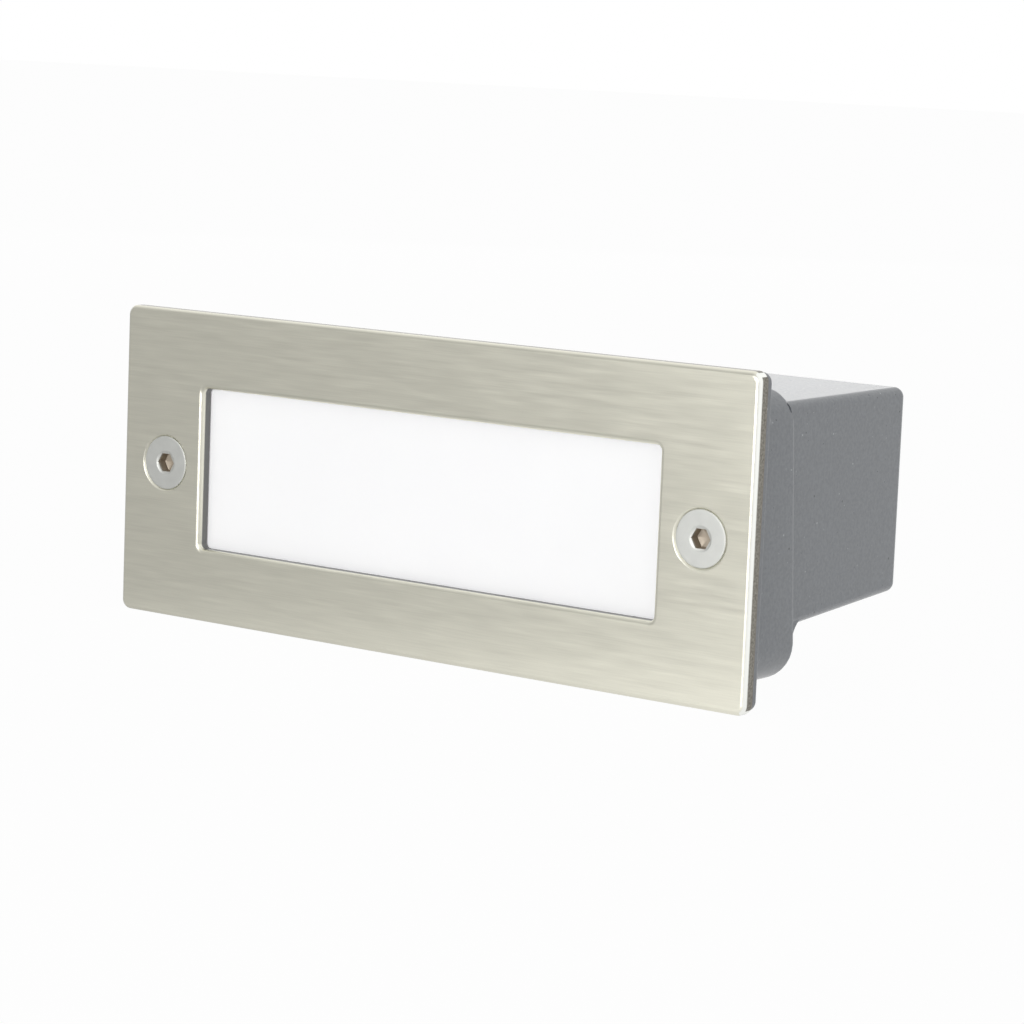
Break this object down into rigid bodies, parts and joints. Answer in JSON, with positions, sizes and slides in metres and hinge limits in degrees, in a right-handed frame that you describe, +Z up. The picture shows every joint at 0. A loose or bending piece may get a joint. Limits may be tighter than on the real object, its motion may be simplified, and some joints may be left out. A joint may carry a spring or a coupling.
{
  "type": "recessed step light",
  "caption": "Low rectangular recessed step light with a brushed steel face, an opal window, hex-socket cover screws and a grey cast housing with a cable gland at the back.",
  "frame": {"origin": "centre of the flange's back face, on the wall plane", "axes": "+X to the right seen from the front, +Y into the wall, +Z up"},
  "size_m": [0.17, 0.0887, 0.07],
  "materials": {
    "brushed_plate": "brushed along its length",
    "satin_steel": "satin",
    "zinc_steel": "satin zinc",
    "cast_grey": "satin powder coat",
    "white_tray": "matt white",
    "opal": "opal, satin",
    "grey_gasket": "matt",
    "black_rubber": "matt",
    "white_board": "solder mask",
    "phosphor": "phosphor gel",
    "driver_white": "fine texture",
    "green_board": "solder mask",
    "ferrite": "sintered",
    "yellow_tape": "film tape",
    "capacitor_blue": "sleeve",
    "terminal_white": "moulded",
    "brass_parts": "plain",
    "brown_sleeve": "sleeve",
    "blue_sleeve": "sleeve",
    "green_sleeve": "sleeve",
    "red_sleeve": "sleeve",
    "black_sleeve": "sleeve",
    "gland_grey": "moulded nylon",
    "claw_white": "moulded nylon"
  },
  "bodies": {
    "base": {"housing": "cast_grey", "reflector_tray": "white_tray", "tray_screws": "zinc_steel", "led_board": "white_board", "led_chips": "phosphor", "board_screws": "zinc_steel", "lead_grommet": "black_rubber", "driver_case": "driver_white", "driver_lid": "driver_white", "driver_screws": "zinc_steel", "driver_board": "green_board", "driver_core": "ferrite", "driver_winding": "yellow_tape", "driver_capacitors": "capacitor_blue", "terminal_block": "terminal_white", "terminal_clamps": "brass_parts", "terminal_screws": "zinc_steel", "terminal_fixings": "zinc_steel", "earth_screw": "brass_parts", "earth_tag": "brass_parts", "live_lead": "brown_sleeve", "neutral_lead": "blue_sleeve", "earth_lead": "green_sleeve", "led_lead_plus": "red_sleeve", "led_lead_minus": "black_sleeve", "gland_body": "gland_grey", "gland_washer": "black_rubber", "gland_locknut": "gland_grey", "gland_seal": "black_rubber"},
    "cover": {"front_plate": "brushed_plate", "plate_gasket": "grey_gasket", "diffuser": "opal", "diffuser_channel": "black_rubber"},
    "seal_left": {"screw_seal_left": "black_rubber"},
    "screw_left": {"cover_screw_left": "satin_steel"},
    "seal_right": {"screw_seal_right": "black_rubber"},
    "screw_right": {"cover_screw_right": "satin_steel"},
    "claw": {"gland_claw": "claw_white"},
    "nut": {"gland_nut": "gland_grey"}
  },
  "joints": [
    {"name": "cover_off", "type": "slide", "parent": "base", "child": "cover", "axis": [0, -1, 0], "range_m": [0, 0.08]},
    {"name": "screw_left_out", "type": "slide", "parent": "cover", "child": "seal_left", "axis": [0, -1, 0], "range_m": [0, 0.012]},
    {"name": "screw_left_turn", "type": "hinge", "parent": "seal_left", "child": "screw_left", "pos_m": [-0.0725, 0, 0], "axis": [0, -1, 0], "range_deg": [0, 4330]},
    {"name": "screw_right_out", "type": "slide", "parent": "cover", "child": "seal_right", "axis": [0, -1, 0], "range_m": [0, 0.012]},
    {"name": "screw_right_turn", "type": "hinge", "parent": "seal_right", "child": "screw_right", "pos_m": [0.0725, 0, 0], "axis": [0, -1, 0], "range_deg": [0, 4330]},
    {"name": "claw_out", "type": "slide", "parent": "base", "child": "claw", "axis": [0, 1, 0], "range_m": [0, 0.0045]},
    {"name": "nut_turn", "type": "hinge", "parent": "claw", "child": "nut", "pos_m": [-0.054, 0.0713, 0.00425], "axis": [0, 1, 0], "range_deg": [0, 1084]}
  ],
  "couplings": [
    {"joint": "screw_left_turn", "follows": "screw_left_out", "rad_per_m": 6283.2},
    {"joint": "screw_right_turn", "follows": "screw_right_out", "rad_per_m": 6283.2},
    {"joint": "nut_turn", "follows": "claw_out", "rad_per_m": 4188.8}
  ]
}
